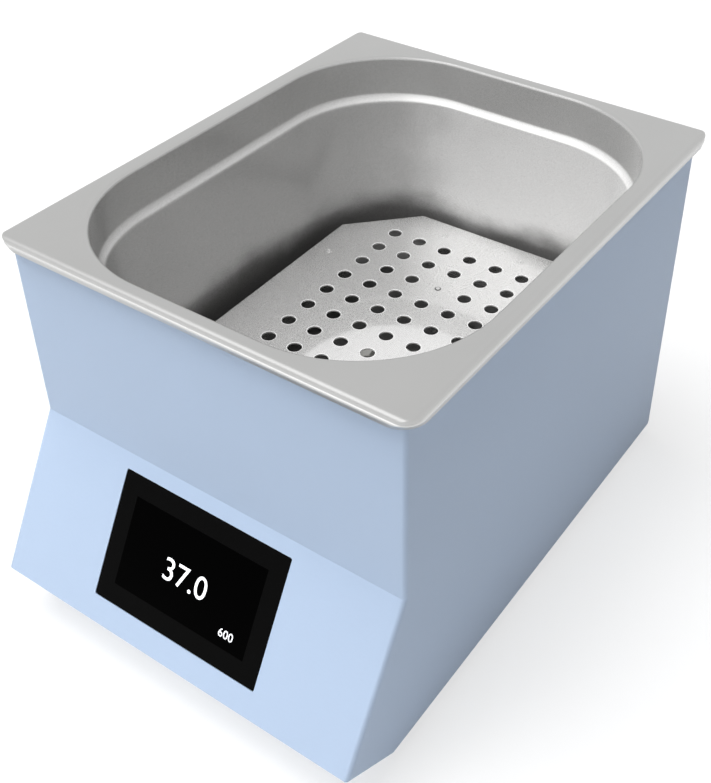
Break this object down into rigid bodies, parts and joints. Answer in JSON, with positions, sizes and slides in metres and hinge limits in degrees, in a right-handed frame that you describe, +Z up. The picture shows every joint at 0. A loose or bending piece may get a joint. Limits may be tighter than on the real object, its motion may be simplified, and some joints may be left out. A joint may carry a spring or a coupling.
{
  "type": "stirring water bath",
  "caption": "Bench water bath: a stainless pan with a perforated shelf and magnetic stirrer, in a painted steel case with a sloping touch display.",
  "frame": {"origin": "centre of the bounding box, on the surface that the feet stand on", "axes": "+Z up, -Y towards the user and the display, +X to the user's right"},
  "size_m": [0.266, 0.3725, 0.2471],
  "materials": {
    "stainless": "satin, fine grained",
    "zinc_steel": "bright zinc",
    "case_paint": "satin powder coat",
    "display_glass": "polished, black backed",
    "seal_rubber": "matt",
    "foot_rubber": "matt",
    "silicone": "matt",
    "blanket": "felted",
    "white_plastic": "smooth",
    "black_plastic": "fine texture",
    "circuit_board": "solder mask",
    "magnet": "nickel plate",
    "aluminium": "mill finish",
    "motor_steel": "drawn can",
    "brass": "turned",
    "fuse_glass": "clear",
    "lead_sheath": "smooth"
  },
  "bodies": {
    "bath": {"tank": "stainless", "tank_studs": "zinc_steel", "tank_nuts": "zinc_steel", "tank_gasket": "seal_rubber", "tank_insulation": "blanket", "impeller_spindle": "stainless", "motor_body": "motor_steel", "motor_screws": "zinc_steel", "motor_bridge": "zinc_steel", "heater_mat": "silicone", "heater_terminal": "white_plastic", "probe_block": "aluminium", "temperature_probe": "stainless", "thermal_cutout": "black_plastic", "cutout_studs": "zinc_steel", "cutout_nuts": "zinc_steel", "case_shell": "case_paint", "rear_panel": "case_paint", "rear_screws": "zinc_steel", "base_plate": "case_paint", "base_screws": "zinc_steel", "feet": "foot_rubber", "foot_screws": "zinc_steel", "foot_nuts": "zinc_steel", "display_glass": "display_glass", "display_panel": "black_plastic", "display_board": "circuit_board", "display_frame": "black_plastic", "display_studs": "zinc_steel", "display_nuts": "zinc_steel", "display_ribbon": "white_plastic", "control_board": "circuit_board", "board_standoffs": "brass", "board_screws": "zinc_steel", "board_connectors": "white_plastic", "board_parts": "black_plastic", "solid_state_relay": "black_plastic", "power_supply": "aluminium", "module_screws": "zinc_steel", "earth_stud": "brass", "mains_inlet": "black_plastic", "inlet_pins": "brass", "inlet_screws": "zinc_steel", "switch_frame": "black_plastic", "motor_lead": "lead_sheath", "heater_lead": "lead_sheath", "mains_lead": "lead_sheath"},
    "shelf": {"perforated_shelf": "stainless", "shelf_legs": "stainless", "shelf_posts": "stainless"},
    "impeller": {"impeller": "white_plastic", "impeller_bush": "white_plastic", "impeller_magnets": "magnet"},
    "rotor": {"motor_shaft": "zinc_steel", "magnet_carrier": "aluminium", "drive_magnets": "magnet", "carrier_set_screw": "zinc_steel"},
    "drawer": {"fuse_drawer": "black_plastic", "fuses": "fuse_glass"},
    "rocker": {"switch_rocker": "black_plastic"}
  },
  "joints": [
    {"name": "shelf_lift", "type": "slide", "parent": "bath", "child": "shelf", "axis": [0, 0, 1], "range_m": [0, 0.16]},
    {"name": "motor_spin", "type": "hinge", "parent": "bath", "child": "rotor", "pos_m": [0, 0.02239, 0.0731], "axis": [0, 0, 1], "continuous": true},
    {"name": "impeller_spin", "type": "hinge", "parent": "bath", "child": "impeller", "pos_m": [0, 0.02239, 0.0981], "axis": [0, 0, 1], "continuous": true},
    {"name": "fuse_drawer_slide", "type": "slide", "parent": "bath", "child": "drawer", "axis": [0, 1, 0], "range_m": [0, 0.018]},
    {"name": "rocker_tilt", "type": "hinge", "parent": "bath", "child": "rocker", "pos_m": [0.045, 0.17639, 0.05], "axis": [-1, 0, 0], "range_deg": [0, 20]}
  ],
  "couplings": [
    {"joint": "impeller_spin", "follows": "motor_spin", "ratio": 1}
  ]
}
